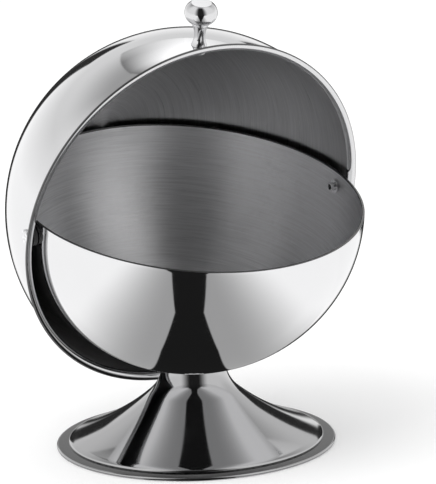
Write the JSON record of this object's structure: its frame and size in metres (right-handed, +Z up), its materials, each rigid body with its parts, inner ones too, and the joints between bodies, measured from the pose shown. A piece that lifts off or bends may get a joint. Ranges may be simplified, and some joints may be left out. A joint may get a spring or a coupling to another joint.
{
  "type": "sugar bowl",
  "caption": "Round polished-steel sugar bowl on a trumpet foot, with a half-ball lid that rolls back over it on two side rivets and a small knob to lift it by.",
  "frame": {"origin": "centre of the foot's underside, on the surface the bowl stands on", "axes": "+Z up; +X along the hinge line; the bowl opens towards -Y and the lid rolls back towards +Y"},
  "size_m": [0.1338, 0.1266, 0.1642],
  "materials": {
    "polished_steel": "mirror-polished stainless steel outside, finely brushed inside the bowl and lid",
    "fastener_steel": "plain stainless fasteners",
    "nylon": "black nylon",
    "seal_rubber": "black soft washer"
  },
  "bodies": {
    "base": {"bowl": "polished_steel", "foot": "polished_steel", "foot_screw": "fastener_steel", "foot_seal": "seal_rubber", "foot_washer": "fastener_steel", "foot_nut": "fastener_steel"},
    "lid": {"lid": "polished_steel", "knob": "polished_steel", "knob_washer": "fastener_steel", "knob_screw": "fastener_steel", "pivot_rivet_left": "fastener_steel", "pivot_spacer_left": "nylon", "pivot_washer_left": "fastener_steel", "pivot_rivet_right": "fastener_steel", "pivot_spacer_right": "nylon", "pivot_washer_right": "fastener_steel"}
  },
  "joints": [
    {"name": "lid_roll", "type": "hinge", "parent": "base", "child": "lid", "pos_m": [0, 0, 0.0852], "axis": [1, 0, 0], "range_deg": [0, 80]}
  ]
}
